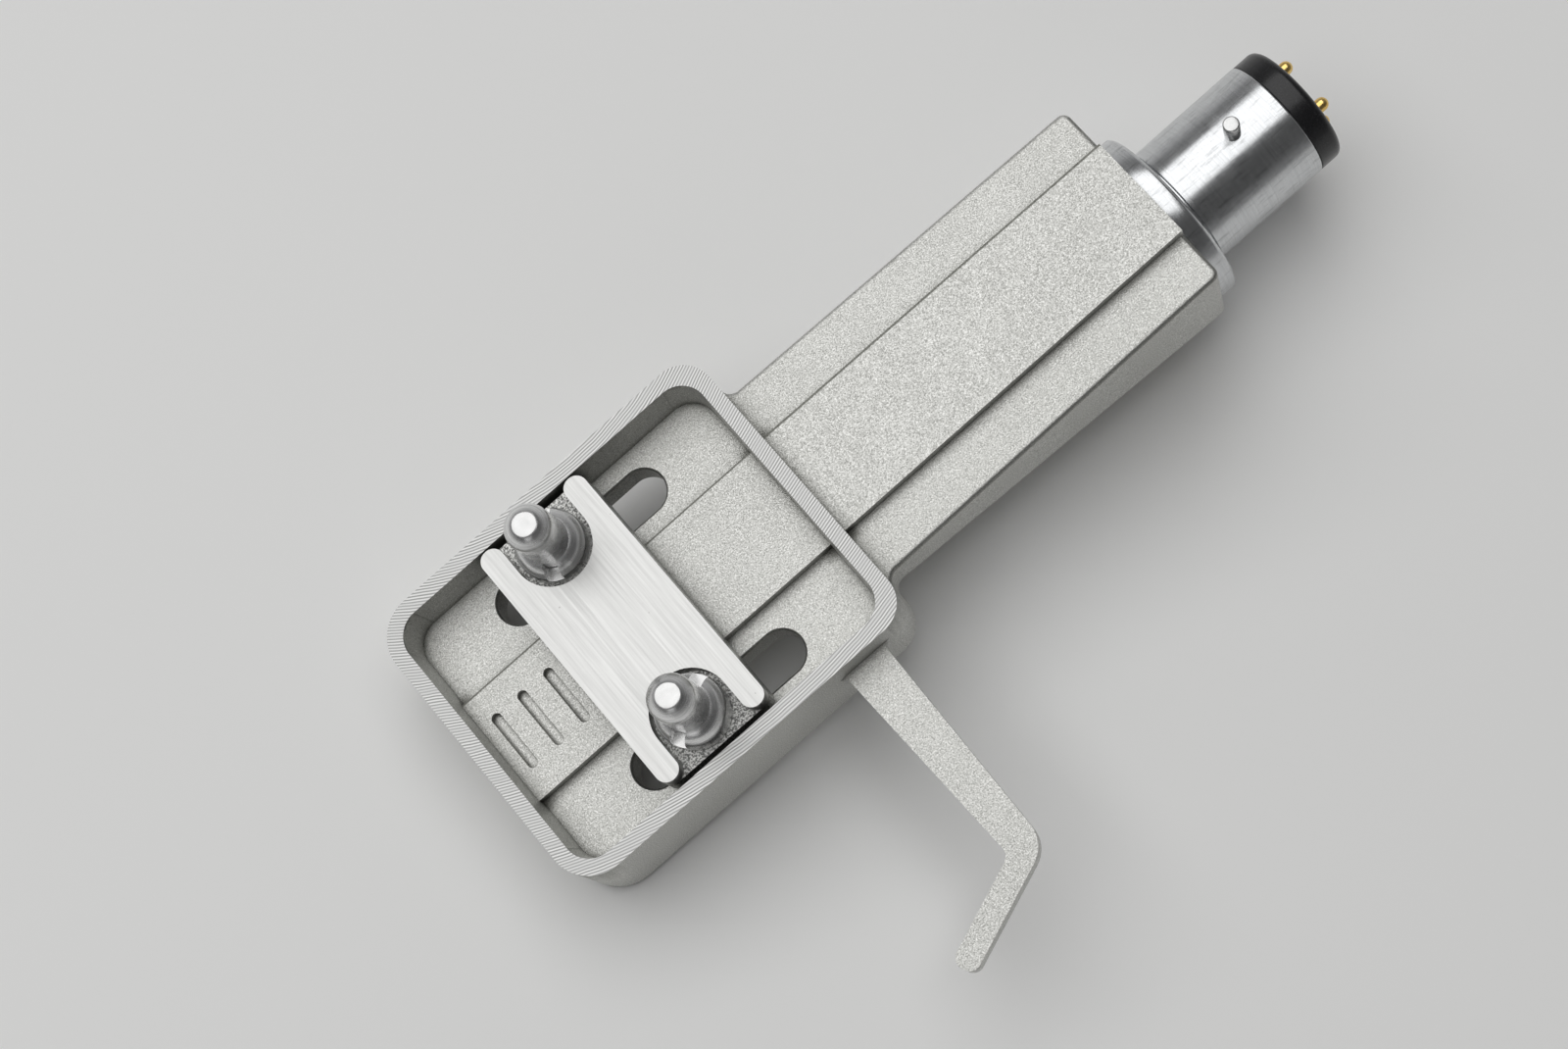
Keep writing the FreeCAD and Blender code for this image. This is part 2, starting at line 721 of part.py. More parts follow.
make_shell()
make_sleeve()
make_locating_pin()
make_insulator()
for order, (side, level) in enumerate(CONTACT_CORNERS, start=1):
    make_contact_pin(order, side, level)
make_clamp_plate()
for order, (side, turn) in enumerate(((-1, "nut_turn_first"), (1, "nut_turn_second")), start=1):
    make_nut(order, side, size[turn])
    make_screw(order, side)
doc.recompute()

for item in doc.Objects:
    if "Invalid" in item.State or "Error" in item.State:
        raise RuntimeError(f"{item.Name} failed: {item.State}")
bodies = [item for item in doc.Objects if item.TypeId == "PartDesign::Body"]
for body in bodies:
    if body.Shape.isNull() or not body.Shape.isValid() or len(body.Shape.Solids) != 1:
        raise RuntimeError(f"{body.Label} is not one valid solid")

os.makedirs("parts", exist_ok=True)
for body in bodies:
    body.Shape.exportStep(f"parts/{body.Label}.step")
    box = body.Shape.BoundBox
    print(f"{body.Label:16s} {body.Shape.Volume:9.2f} mm3  x {box.XMin:7.2f} {box.XMax:7.2f}"
          f"  y {box.YMin:7.2f} {box.YMax:7.2f}  z {box.ZMin:7.2f} {box.ZMax:7.2f}")
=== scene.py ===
# %% [markdown]
# # A turntable headshell, dressed for its picture
#
# A headshell is the small carrier at the front of a record player's arm. The cartridge with the needle hangs
# under its open tray, and the round plug at the rear locks into the arm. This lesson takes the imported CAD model
# as a fixed frame and gives it its looks: the cast, milled, turned, brushed, moulded and gilt finishes, the
# small turned pieces with all their edges, and soft studio light.
#
# Everything is in metres, in the frame of the CAD model: +X runs forward to the front of the head, +Y to the
# finger lift and +Z up out of the tray. The origin is on the plug's axis, where the flange seats on the arm.

# %% Load the frame
import math

import bmesh
import bpy
from mathutils import Matrix, Quaternion, Vector


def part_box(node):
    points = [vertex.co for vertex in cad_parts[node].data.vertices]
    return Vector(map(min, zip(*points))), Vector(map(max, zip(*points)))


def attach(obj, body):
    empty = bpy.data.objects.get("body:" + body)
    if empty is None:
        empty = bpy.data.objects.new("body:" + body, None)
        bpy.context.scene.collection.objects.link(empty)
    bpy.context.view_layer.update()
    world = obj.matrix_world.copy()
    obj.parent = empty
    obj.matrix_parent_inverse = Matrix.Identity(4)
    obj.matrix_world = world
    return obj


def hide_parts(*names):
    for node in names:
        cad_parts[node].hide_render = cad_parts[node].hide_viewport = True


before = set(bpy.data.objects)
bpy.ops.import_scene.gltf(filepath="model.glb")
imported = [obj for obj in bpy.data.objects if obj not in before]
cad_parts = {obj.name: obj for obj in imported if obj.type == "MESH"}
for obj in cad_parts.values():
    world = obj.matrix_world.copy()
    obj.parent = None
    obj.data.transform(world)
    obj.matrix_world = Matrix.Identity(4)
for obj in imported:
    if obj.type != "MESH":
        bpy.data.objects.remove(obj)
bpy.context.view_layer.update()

MM = 0.001
for name in sorted(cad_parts):
    low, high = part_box(name)
    print(f"{name:16s}", [round((b - a) / MM, 2) for a, b in zip(low, high)], "mm")

# %% [markdown]
# ## Helpers for meshes
#
# Most of the small pieces of a headshell are turned on a lathe, so one helper does most of the work: it draws
# half an outline, spins it a full turn and closes the poles. The outline is a short list of radius and distance
# pairs, like the passes of a turning tool. After the spin the seam's doubles are merged, and the normals are
# recalculated, because a spin can turn a shape inside out. A Weighted Normal modifier keeps the large faces
# looking flat right up to a bevel, which is what makes a machined edge look crisp.

# %% A finished piece from a bmesh
def keep_faces_flat(piece):
    """Lets large faces set the shading, so that a small bevel doesn't bend the light on its neighbours."""
    weighted = piece.modifiers.new("flat_faces", "WEIGHTED_NORMAL")
    weighted.weight = 100
    weighted.keep_sharp = True


def finish_piece(name, bm, body, smooth_angle=40.0):
    """Makes the bmesh an object at the origin that rides on a body of the frame."""
    bmesh.ops.remove_doubles(bm, verts=bm.verts, dist=0.0005 * MM)
    bmesh.ops.recalc_face_normals(bm, faces=bm.faces)
    mesh = bpy.data.meshes.new(name)
    bm.to_mesh(mesh)
    bm.free()
    piece = bpy.data.objects.new(name, mesh)
    bpy.context.scene.collection.objects.link(piece)
    for face in mesh.polygons:
        face.use_smooth = True
    mesh.set_sharp_from_angle(angle=math.radians(smooth_angle))
    keep_faces_flat(piece)
    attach(piece, body)
    print(f"{name:18s} {len(mesh.polygons):6d} faces")
    return piece


def turned(outline, steps=96):
    """A bmesh of an outline of (radius, distance) pairs in mm, spun about Z. Distances run up along Z."""
    bm = bmesh.new()
    ring = [bm.verts.new((radius * MM, 0.0, distance * MM)) for radius, distance in outline]
    for lower, upper in zip(ring, ring[1:]):
        bm.edges.new((lower, upper))
    bmesh.ops.spin(
        bm, geom=bm.verts[:] + bm.edges[:], cent=(0, 0, 0), axis=(0, 0, 1),
        angle=math.tau, steps=steps, use_merge=True, use_duplicate=False,
    )
    bmesh.ops.remove_doubles(bm, verts=bm.verts, dist=0.0005 * MM)
    return bm


def lay_along_x(bm, x=0.0, y=0.0, z=0.0):
    """Turns a shape that was spun about Z so that its axis runs along X, and moves it there, in mm."""
    turn = Matrix.Rotation(math.radians(90), 4, "Y")
    bmesh.ops.transform(bm, matrix=Matrix.Translation(Vector((x, y, z)) * MM) @ turn, verts=bm.verts)


def arc(centre_radius, centre_distance, radius, start, end, steps=8):
    """Points of an arc in the plane of an outline, from one angle to another in degrees."""
    angles = [math.radians(start + (end - start) * k / steps) for k in range(steps + 1)]
    return [
        (centre_radius + radius * math.cos(angle), centre_distance + radius * math.sin(angle))
        for angle in angles
    ]


# %% [markdown]
# ## Helpers for materials
#
# A material is a small tree of nodes. These helpers keep the lessons on each finish short: they add a node with
# its settings, and link sockets by name. Patterns read Object coordinates in millimetres, so a grain of 0.1
# means a tenth of a millimetre on every piece.

# %% A node tree with short calls
class Finish:
    """A Principled material and the nodes that feed it."""

    def __init__(self, name, color, metallic=0.0, roughness=0.5, **sockets):
        self.material = bpy.data.materials.new(name)
        self.material.use_nodes = True
        self.tree = self.material.node_tree
        self.shader = self.tree.nodes["Principled BSDF"]
        self.shader.inputs["Base Color"].default_value = (*color, 1.0)
        self.shader.inputs["Metallic"].default_value = metallic
        self.shader.inputs["Roughness"].default_value = roughness
        for socket, value in sockets.items():
            self.shader.inputs[socket.replace("_", " ")].default_value = value
        self.material.diffuse_color = (*color, 1.0)

    def node(self, kind, inputs=None, **settings):
        node = self.tree.nodes.new(f"ShaderNode{kind}")
        for key, value in settings.items():
            setattr(node, key, value)
        for socket, value in (inputs or {}).items():
            if isinstance(value, bpy.types.NodeSocket):
                self.tree.links.new(value, node.inputs[socket])
            else:
                node.inputs[socket].default_value = value
        return node

    def feed(self, socket, value):
        self.tree.links.new(value, self.shader.inputs[socket])

    def millimetres(self, stretch=(1.0, 1.0, 1.0)):
        """Object coordinates in millimetres, each axis times its stretch."""
        place = self.node("TexCoord").outputs["Object"]
        scale = tuple(factor / MM for factor in stretch)
        return self.node("Mapping", {"Vector": place, "Scale": scale}).outputs["Vector"]

    def noise(self, vector, scale, detail=2.0, roughness=0.5):
        inputs = {"Vector": vector, "Scale": scale, "Detail": detail, "Roughness": roughness}
        return self.node("TexNoise", inputs).outputs["Fac"]

    def math(self, operation, *values):
        return self.node("Math", dict(enumerate(values)), operation=operation).outputs[0]

    def product(self, first, *others):
        """All the values multiplied."""
        for other in others:
            first = self.math("MULTIPLY", first, other)
        return first

    def normal(self, kind="Normal"):
        """The X, Y and Z of the surface's normal: Normal has the bevels' smooth shading, True Normal has not."""
        return self.node("SeparateXYZ", {"Vector": self.node("NewGeometry").outputs[kind]}).outputs

    def ramp(self, value, low, high, out_low=0.0, out_high=1.0):
        """The value mapped from low..high to out_low..out_high, and held there at both ends."""
        inputs = {"Value": value, "From Min": low, "From Max": high, "To Min": out_low, "To Max": out_high}
        return self.node("MapRange", inputs, clamp=True).outputs["Result"]

    def mix(self, factor, first, second):
        """Two colours mixed by a factor."""
        node = self.node("Mix", data_type="RGBA")
        for index, value in ((0, factor), (6, first), (7, second)):
            if isinstance(value, bpy.types.NodeSocket):
                self.tree.links.new(value, node.inputs[index])
            else:
                node.inputs[index].default_value = value if index == 0 else (*value, 1.0)
        return node.outputs[2]

    def blend(self, factor, first, second):
        """Two numbers mixed by a factor."""
        node = self.node("Mix", data_type="FLOAT")
        for index, value in ((0, factor), (2, first), (3, second)):
            if isinstance(value, bpy.types.NodeSocket):
                self.tree.links.new(value, node.inputs[index])
            else:
                node.inputs[index].default_value = value
        return node.outputs[0]

    def bump(self, height, depth):
        """A bump whose height of 1 is depth millimetres."""
        return self.node("Bump", {"Height": height, "Distance": depth * MM, "Strength": 1.0}).outputs["Normal"]

    def openness(self, distance):
        """How open the surface is to the air within a distance in mm, from 0 in a corner to 1 on a plain face."""
        return self.node("AmbientOcclusion", {"Distance": distance * MM}, samples=4).outputs["AO"]


def paint(piece, finish):
    """Gives a piece its material."""
    piece.data.materials.clear()
    piece.data.materials.append(finish.material)


# %% [markdown]
# ## The cast finish, with its milled rim
#
# The shell is one aluminium casting. Its skin has the fine, even grain of a blasted casting: each grain is a
# tenth of a millimetre or so and catches the light by itself, which is why the metal sparkles without a mirror
# anywhere. Two sizes of noise make the bump, and the finer one also varies the roughness and the brightness.

# %% The grain of the casting
cast = Finish("cast_aluminium", (0.56, 0.56, 0.535), metallic=0.9, roughness=0.46)
place = cast.millimetres()
parts = cast.node("SeparateXYZ", {"Vector": place}).outputs
fine_grain = cast.noise(place, 12.0, detail=2.0, roughness=0.6)
soft_grain = cast.noise(place, 6.0, detail=2.0, roughness=0.6)
clouding = cast.noise(place, 0.22, detail=2.0)

cast_tone = cast.mix(cast.ramp(clouding, 0.3, 0.7), (0.54, 0.54, 0.515), (0.58, 0.58, 0.555))
cast_tone = cast.mix(cast.ramp(fine_grain, 0.54, 0.68), cast_tone, (0.78, 0.78, 0.755))
pits = cast.product(cast.ramp(fine_grain, 0.47, 0.34), 0.5)
cast_tone = cast.mix(pits, cast_tone, (0.20, 0.20, 0.185))
cast_roughness = cast.ramp(fine_grain, 0.3, 0.7, 0.58, 0.40)
grain_height = cast.math("ADD", fine_grain, cast.product(soft_grain, 0.6))
grain_bump = cast.bump(grain_height, 0.016)
print("grain of the casting: bright grains, pits and clouding")

# %% [markdown]
# Shade is painted into the inner corners: an Ambient Occlusion node finds the last few tenths of a millimetre
# beside a wall and darkens the colour there, a painted shade that draws the steps and slots. The three grooves are
# so narrow that a shorter distance is used there, or their floors would go dark from wall to wall.
#
# The rounding along each edge is painted a little darker as well, a painted dark reflection. It is found by its
# slope, neither level nor upright. Only the outer edges on the side of the light stay clear. On that side the
# raised band's edge gets a thin painted dark line instead, also a painted dark reflection, and it is drawn by its
# place.

# %% Painted shade in corners and on edges
RIM_TOP = 10.1
BAND_TOP = 7.9
# tone of the painted dark reflection on rounded edges and along the band's edge
EDGE_REFLECTION_TONE = (0.10, 0.10, 0.085)
# tone of the painted shade in inner corners
CORNER_SHADE_TONE = (0.13, 0.13, 0.115)
BAND = {"rear": 1.6, "front": 27.1, "half_rear": 3.55, "half_front": 3.67, "end": 50.4}
GROOVES = {"top": BAND_TOP - 0.1, "ends": (43.0, 43.1), "half": 3.2}

# Painted dark reflection: rounded edges get a darker colour, except the outer edges on the side of the light.
slope = cast.normal()
rounding = cast.product(cast.ramp(slope["Z"], 0.96, 0.86), cast.ramp(slope["Z"], 0.12, 0.3))
towards_light = cast.product(cast.ramp(slope["Y"], -0.05, -0.2), cast.ramp(parts["Y"], -4.0, -4.3))
rounding = cast.product(rounding, cast.math("SUBTRACT", 1.0, towards_light))
cast_tone = cast.mix(cast.product(rounding, 0.5), cast_tone, EDGE_REFLECTION_TONE)

# Painted dark reflection: a thin dark line along the raised band's edge on the side of the light, placed by
# position.
half_band = cast.ramp(parts["X"], BAND["rear"], BAND["front"], BAND["half_rear"], BAND["half_front"])
inset = cast.math("ADD", parts["Y"], half_band)
near_edge = cast.product(cast.ramp(inset, -0.03, 0.0), cast.ramp(inset, 0.15, 0.10))
below_rim = cast.math("LESS_THAN", parts["Z"], RIM_TOP - 1.0)
before_wall = cast.math("LESS_THAN", parts["X"], BAND["end"])
band_edge_reflection = cast.product(near_edge, below_rim, before_wall, cast.ramp(slope["Z"], 0.2, 0.5))
cast_tone = cast.mix(cast.product(band_edge_reflection, 0.85), cast_tone, EDGE_REFLECTION_TONE)

below_band = cast.math("LESS_THAN", parts["Z"], GROOVES["top"])
between_sides = cast.math("LESS_THAN", cast.math("ABSOLUTE", parts["Y"]), GROOVES["half"])
in_groove = cast.product(below_band, cast.ramp(parts["X"], *GROOVES["ends"]), between_sides)
# Painted shade: the colour is darkened by Ambient Occlusion beside walls, with a shorter reach in the grooves.
corner_shade = cast.ramp(cast.openness(0.9), 0.48, 0.78)
groove_corner_shade = cast.ramp(cast.openness(0.25), 0.60, 0.90)
cast_tone = cast.mix(cast.blend(in_groove, corner_shade, groove_corner_shade), CORNER_SHADE_TONE, cast_tone)
print("corners and edges darkened, grooves below", round(GROOVES["top"], 2), "mm")

# %% [markdown]
# Only the top of the rim is different. It was milled flat after casting, and the fly cutter left arcs about a
# sixth of a millimetre apart. The arcs are circles about a point beside the head, so the pattern is the distance
# from that point. A mask by height and by direction keeps it on the rim's top face.

# %% The milled rim
CUTTER_CENTRE = (36.0, -27.15)
CUTTER_FEED = 0.17

across_x = cast.math("SUBTRACT", parts["X"], CUTTER_CENTRE[0])
across_y = cast.math("SUBTRACT", parts["Y"], CUTTER_CENTRE[1])
squares = cast.math("ADD", cast.math("POWER", across_x, 2.0), cast.math("POWER", across_y, 2.0))
distance = cast.math("SQRT", squares)
wander = cast.product(cast.noise(place, 0.5), 0.15)
phase = cast.math("DIVIDE", cast.math("ADD", distance, wander), CUTTER_FEED)
pass_marks = cast.product(cast.math("PINGPONG", phase, 0.5), 2.0)
each_pass = {"W": cast.math("FLOOR", phase)}
single_pass = cast.node("TexWhiteNoise", each_pass, noise_dimensions="1D").outputs["Value"]

at_rim = cast.math("GREATER_THAN", parts["Z"], RIM_TOP - 0.02)
milled = cast.product(at_rim, cast.math("GREATER_THAN", cast.normal("True Normal")["Z"], 0.9))
groove_tone = cast.mix(cast.ramp(pass_marks, 0.25, 0.75), (0.20, 0.20, 0.195), (0.56, 0.56, 0.55))
milled_tone = cast.mix(cast.product(single_pass, 0.5), groove_tone, (0.50, 0.50, 0.495))
milled_roughness = cast.ramp(single_pass, 0.0, 1.0, 0.30, 0.42)

cast.feed("Base Color", cast.mix(milled, cast_tone, milled_tone))
cast.feed("Roughness", cast.blend(milled, cast_roughness, milled_roughness))
cast.feed("Normal", cast.mix(milled, grain_bump, cast.bump(pass_marks, 0.006)))
paint(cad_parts["shell"], cast)
print("cast finish on the shell, milled above", RIM_TOP, "mm")

# %% [markdown]
# ## Edges that catch the light
#
# No cast or machined edge is perfectly sharp: a tenth of a millimetre of rounding is what draws the bright line
# along it. The CAD model keeps these edges sharp to stay light, so a Weld modifier joins its loose triangles and
# a Bevel modifier rounds the edges that turn by more than a set angle. Both are live, so the CAD mesh itself
# stays as it is.

# %% Round the edges of the casting and of the plate
def soften(piece, width, angle=34.0, segments=2):
    weld = piece.modifiers.new("join_triangles", "WELD")
    weld.merge_threshold = 0.0008 * MM
    edge = piece.modifiers.new("soft_edges", "BEVEL")
    edge.width = width * MM
    edge.segments = segments
    edge.limit_method = "ANGLE"
    edge.angle_limit = math.radians(angle)
    edge.harden_normals = True
    edge.miter_outer = "MITER_ARC"
    edge.use_clamp_overlap = True
    print(piece.name, "edges rounded by", width, "mm")


soften(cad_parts["shell"], 0.09)
soften(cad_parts["clamp_plate"], 0.1)

# %% [markdown]
# ## The brushed clamp plate
#
# The plate that slides across the tray is bar stock: brushed along its length on top, and left grainy where the
# cutter sank the two open recesses. Brushing is noise that is stretched fifty times along the stroke. It
# changes the tone and the roughness, and gives a very low bump.

# %% Brushed aluminium
RECESS_FLOOR = 9.7

brushed = Finish("brushed_aluminium", (0.54, 0.54, 0.525), metallic=0.95, roughness=0.36)
stroke_place = brushed.millimetres(stretch=(1.0, 0.02, 1.0))
strokes = brushed.noise(stroke_place, 9.0, detail=3.0, roughness=0.65)
wide_strokes = brushed.noise(stroke_place, 2.2, detail=2.0)
plate_place = brushed.millimetres()
plate_grain = brushed.noise(plate_place, 9.0, detail=2.0, roughness=0.6)
specks = brushed.ramp(brushed.noise(plate_place, 3.2, detail=1.0), 0.80, 0.84)
level = brushed.node("SeparateXYZ", {"Vector": plate_place}).outputs["Z"]
sunk = brushed.math("LESS_THAN", level, RECESS_FLOOR + 0.03)
fine_mark = brushed.ramp(strokes, 0.3, 0.7, 0.0, 0.6)
wide_mark = brushed.ramp(wide_strokes, 0.3, 0.7, 0.0, 0.4)
stroke_mark = brushed.math("ADD", fine_mark, wide_mark)
stroke_tone = brushed.mix(stroke_mark, (0.49, 0.49, 0.48), (0.61, 0.61, 0.598))
stroke_tone = brushed.mix(specks, stroke_tone, (0.20, 0.19, 0.18))
grain_tone = brushed.mix(brushed.ramp(plate_grain, 0.42, 0.60), (0.14, 0.14, 0.135), (0.66, 0.66, 0.64))
brushed.feed("Base Color", brushed.mix(sunk, stroke_tone, grain_tone))
brushed.feed("Roughness", brushed.blend(sunk, brushed.ramp(strokes, 0.3, 0.7, 0.42, 0.32), 0.5))
brushed.feed("Normal", brushed.mix(sunk, brushed.bump(strokes, 0.003), brushed.bump(plate_grain, 0.02)))
paint(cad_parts["clamp_plate"], brushed)
print("brushed finish on the plate, grain below", RECESS_FLOOR, "mm")

# %% [markdown]
# ## Turned metal
#
# The sleeve, the nuts and the screws come off a lathe. The tool leaves rings so fine that they are seen only as
# streaks of light and dark that run around the piece. Their pattern is noise that depends on the distance along
# the axis and hardly on the angle. A second, sparse noise adds the faint scuffs of a plug that has been in and
# out of an arm. The flat-turned ends of the nuts and screws look straight up into the lamp, so a painted shade
# makes their colour darker there and holds back the lamp's highlight on them.

# %% Turned aluminium and turned steel
def grey(level):
    """A neutral tone, very slightly warm."""
    return (level, level, level - 0.005)


def turned_metal(name, low_tone, high_tone, roughness, along, ring_scale=9.0, depth=0.002, scuffs=0.0, upturned_end_shade=None):
    """A lathe finish whose rings stand square to the axis along ("X" or "Z"), and are depth mm deep.

    Scuffs is how much the faint wear dulls it, and the last argument is the tone of a painted shade on an end that
    looks straight up.
    """
    finish = Finish(name, high_tone, metallic=1.0, roughness=roughness)
    stretch = {"X": (1.0, 0.03, 0.03), "Z": (0.03, 0.03, 1.0)}[along]
    rings = finish.noise(finish.millimetres(stretch), ring_scale, detail=5.0, roughness=0.75)
    broad = finish.noise(finish.millimetres(), 0.9, detail=3.0)
    tone = finish.mix(finish.ramp(rings, 0.32, 0.68), low_tone, high_tone)
    if scuffs:
        marks = finish.noise(finish.millimetres((0.5, 3.0, 3.0)), 1.2, detail=5.0, roughness=0.7)
        dull = finish.product(finish.ramp(marks, 0.52, 0.66), scuffs)
        tone = finish.mix(dull, tone, tuple(value * 0.62 for value in low_tone))
    # Painted shade: ends that look straight up into the lamp get a darker colour.
    if upturned_end_shade:
        end_marks = finish.noise(finish.millimetres(), 2.5, detail=3.0)
        shaded_end_tone = finish.mix(end_marks, upturned_end_shade, tuple(value * 0.8 for value in upturned_end_shade))
        tone = finish.mix(finish.ramp(finish.normal()["Z"], 0.90, 0.97), tone, shaded_end_tone)
    finish.feed("Base Color", tone)
    finish.feed("Roughness", finish.ramp(broad, 0.3, 0.7, roughness * 0.8, roughness * 1.25))
    finish.feed("Normal", finish.bump(rings, depth))
    return finish


sleeve_metal = turned_metal("turned_aluminium", (0.56, 0.57, 0.58), (0.70, 0.71, 0.72), 0.20, "X", scuffs=0.6)
nut_metal = turned_metal(
    "turned_steel", (0.56, 0.56, 0.56), grey(0.97), 0.26, "Z", ring_scale=6.0, depth=0.010, upturned_end_shade=grey(0.64),
)
screw_metal = turned_metal(
    "screw_steel", (0.50, 0.50, 0.50), grey(0.97), 0.26, "Z", ring_scale=5.0, depth=0.016, upturned_end_shade=grey(0.64),
)
pin_metal = turned_metal("pin_steel", (0.52, 0.52, 0.52), grey(0.70), 0.25, "Z")
for finish in (sleeve_metal, nut_metal, screw_metal, pin_metal):
    print("turned finish:", finish.material.name)

# %% [markdown]
# ## The plug's sleeve
#
# The sleeve is the part that goes into the arm: a thin tube with a flange. On the real piece the flange has a
# bright chamfer on both edges, the tube's rear edge is rolled round the black insulator, and a shallow groove
# runs where the tube meets the flange, so that the arm's collar seats flat. All of it is one outline, spun.

# %% Spin the sleeve
PLUG = {"radius": 4.0, "bore": 3.0, "length": 8.3, "flange": 5.75, "thickness": 1.6, "spigot": 3.6, "end": 4.4}

sleeve_outline = [
    (PLUG["bore"], -PLUG["length"] + 0.06),
    (PLUG["bore"] + 0.06, -PLUG["length"]),
    *arc(PLUG["radius"] - 0.14, -PLUG["length"] + 0.14, 0.14, -90, 0, steps=4),
    (PLUG["radius"], -0.42),
    (PLUG["radius"] - 0.12, -0.34),
    (PLUG["radius"] - 0.12, 0.0),
    (PLUG["flange"] - 0.22, 0.0),
    (PLUG["flange"] - 0.05, 0.13),
    (PLUG["flange"], 0.24),
    (PLUG["flange"], PLUG["thickness"] - 0.24),
    (PLUG["flange"] - 0.05, PLUG["thickness"] - 0.13),
    (PLUG["flange"] - 0.22, PLUG["thickness"]),
    (PLUG["spigot"], PLUG["thickness"]),
    (PLUG["spigot"], PLUG["end"] - 0.1),
    (PLUG["spigot"] - 0.1, PLUG["end"]),
    (PLUG["bore"], PLUG["end"]),
    (PLUG["bore"], -PLUG["length"] + 0.06),
]
bm = turned(sleeve_outline, steps=128)
lay_along_x(bm)
sleeve = finish_piece("plug_sleeve", bm, "base", smooth_angle=30)
paint(sleeve, sleeve_metal)
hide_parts("bayonet_sleeve")

# %% [markdown]
# ## The locating pin
#
# A small steel pin stands out of the top of the sleeve. The arm's collar pulls on it to draw the plug home, so
# its top edge is chamfered all round. It sits in the sleeve's wall, and its foot stays inside the metal.

# %% Spin the locating pin
PIN = {"x": -5.05, "radius": 0.5, "foot": 3.2, "top": 5.65}

pin_outline = [
    (0.0, PIN["foot"]),
    (PIN["radius"], PIN["foot"]),
    (PIN["radius"], PIN["top"] - 0.09),
    (PIN["radius"] - 0.03, PIN["top"] - 0.03),
    (PIN["radius"] - 0.09, PIN["top"]),
    (0.0, PIN["top"]),
]
bm = turned(pin_outline, steps=48)
bmesh.ops.translate(bm, verts=bm.verts, vec=Vector((PIN["x"], 0, 0)) * MM)
locating_pin = finish_piece("plug_pin", bm, "base")
paint(locating_pin, pin_metal)
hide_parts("locating_pin")

# %% [markdown]
# ## The moulded insulator
#
# The insulator is moulded black plastic with a rounded rear edge. Its skin is nearly smooth: a broad, low
# ripple and a few fine specks keep the highlight from looking like glass. Around each contact the mould leaves a
# small ring, which is a separate low collar here.

# %% Black moulded plastic
black = Finish("black_moulding", (0.012, 0.012, 0.013), roughness=0.2, Specular_IOR_Level=0.42)
moulding_place = black.millimetres()
ripple = black.noise(moulding_place, 1.1, detail=2.0)
specks = black.noise(moulding_place, 9.0, detail=3.0, roughness=0.7)
black.feed("Base Color", black.mix(black.ramp(specks, 0.55, 0.75), (0.010, 0.010, 0.011), (0.035, 0.035, 0.037)))
black.feed("Roughness", black.ramp(ripple, 0.3, 0.7, 0.20, 0.30))
black.feed("Normal", black.bump(black.math("ADD", ripple, black.math("MULTIPLY", specks, 0.2)), 0.012))

# %% Spin the insulator and its four collars
CAP = {"radius": 3.98, "rear": -9.9, "seat": -8.3, "front": 3.4, "rounding": 0.5}
CONTACT_OFFSET = 1.55

insulator_outline = [
    (0.0, CAP["rear"]),
    *arc(CAP["radius"] - CAP["rounding"], CAP["rear"] + CAP["rounding"], CAP["rounding"], -90, 0, steps=8),
    (CAP["radius"], CAP["seat"] - 0.04),
    (CAP["radius"] - 0.04, CAP["seat"]),
    (PLUG["bore"], CAP["seat"]),
    (PLUG["bore"], CAP["front"] - 0.12),
    (PLUG["bore"] - 0.12, CAP["front"]),
    (0.0, CAP["front"]),
]
bm = turned(insulator_outline, steps=96)
lay_along_x(bm)
insulator = finish_piece("plug_insulator", bm, "base", smooth_angle=35)
paint(insulator, black)
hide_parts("insulator")

# %% [markdown]
# ## Contact pins
#
# Four gilt pins carry the signal. Behind, each one shows as a small dome; in front, inside the neck, it is a
# post with a shallow waist and a rounded end, for a clip to hold on to.

# %% Gold plating
gold = Finish("gold_plating", (0.87, 0.60, 0.20), metallic=1.0, roughness=0.2)
gold_wear = gold.noise(gold.millimetres(), 3.5, detail=4.0)
gold.feed("Base Color", gold.mix(gold.ramp(gold_wear, 0.35, 0.68), (0.80, 0.52, 0.15), (0.93, 0.68, 0.27)))
gold.feed("Roughness", gold.ramp(gold_wear, 0.3, 0.7, 0.14, 0.28))
gold.feed("Normal", gold.bump(gold_wear, 0.004))

# %% Spin the four contact pins
CONTACT = {"radius": 0.42, "rear": -10.85, "front": 6.4}

contact_outline = [
    *arc(0.0, CONTACT["rear"] + CONTACT["radius"], CONTACT["radius"], -90, 0, steps=8),
    (CONTACT["radius"], 4.3),
    (CONTACT["radius"] - 0.08, 4.45),
    (CONTACT["radius"] - 0.08, 5.2),
    (CONTACT["radius"], 5.35),
    *arc(CONTACT["radius"] - 0.16, CONTACT["front"] - 0.16, 0.16, 0, 90, steps=4),
    (0.0, CONTACT["front"]),
]
COLLAR = {"outer": 0.72, "height": 0.07}
collar_outline = [
    (CONTACT["radius"], CAP["rear"] + 0.1),
    (COLLAR["outer"], CAP["rear"] + 0.1),
    (COLLAR["outer"], CAP["rear"] - COLLAR["height"] + 0.03),
    (COLLAR["outer"] - 0.04, CAP["rear"] - COLLAR["height"]),
    (CONTACT["radius"], CAP["rear"] - COLLAR["height"]),
    (CONTACT["radius"], CAP["rear"] + 0.1),
]
